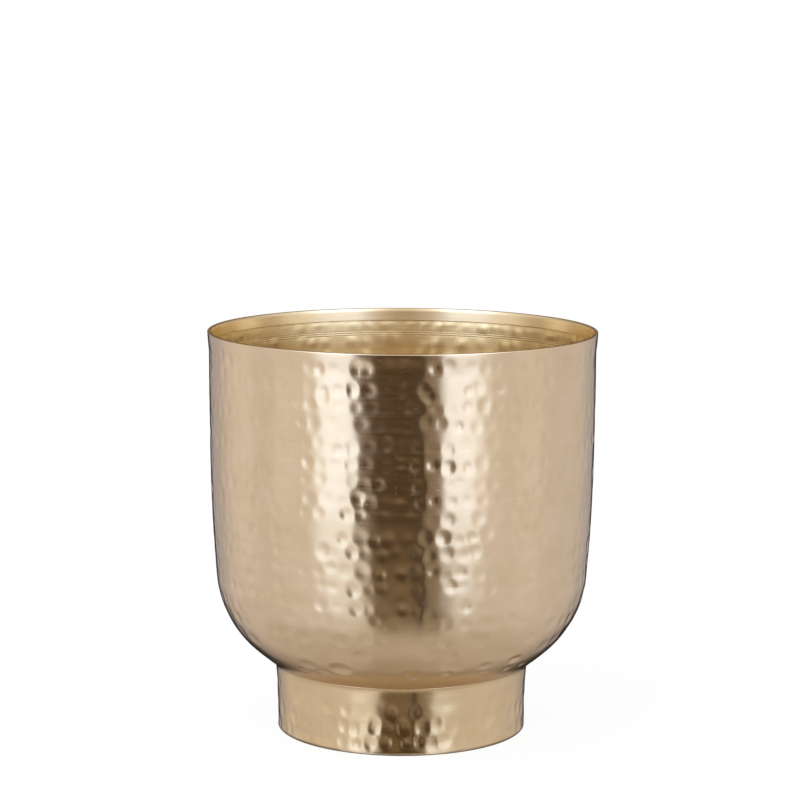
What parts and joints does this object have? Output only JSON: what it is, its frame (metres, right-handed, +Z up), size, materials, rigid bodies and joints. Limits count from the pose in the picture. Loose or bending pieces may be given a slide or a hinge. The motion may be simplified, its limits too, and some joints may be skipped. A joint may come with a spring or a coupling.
{
  "type": "cachepot",
  "caption": "Round hammered brass cachepot: a spun bowl with an inward folded rim hem, brazed on a low hammered ring foot.",
  "frame": {"origin": "centre of the foot's lower edge, on the surface that the pot stands on", "axes": "+Z up along the pot's axis, +Y to the back, where the foot's closing seam lies, +X to the right"},
  "size_m": [0.2098, 0.2098, 0.2172],
  "materials": {
    "bowl_brass": "satin, hammered, fine turned lines",
    "foot_brass": "satin, hammered",
    "braze": "dull, as run"
  },
  "bodies": {
    "root": {"bowl": "bowl_brass", "foot_ring": "foot_brass", "foot_seam_solder": "braze", "foot_braze_bead": "braze"}
  },
  "joints": []
}
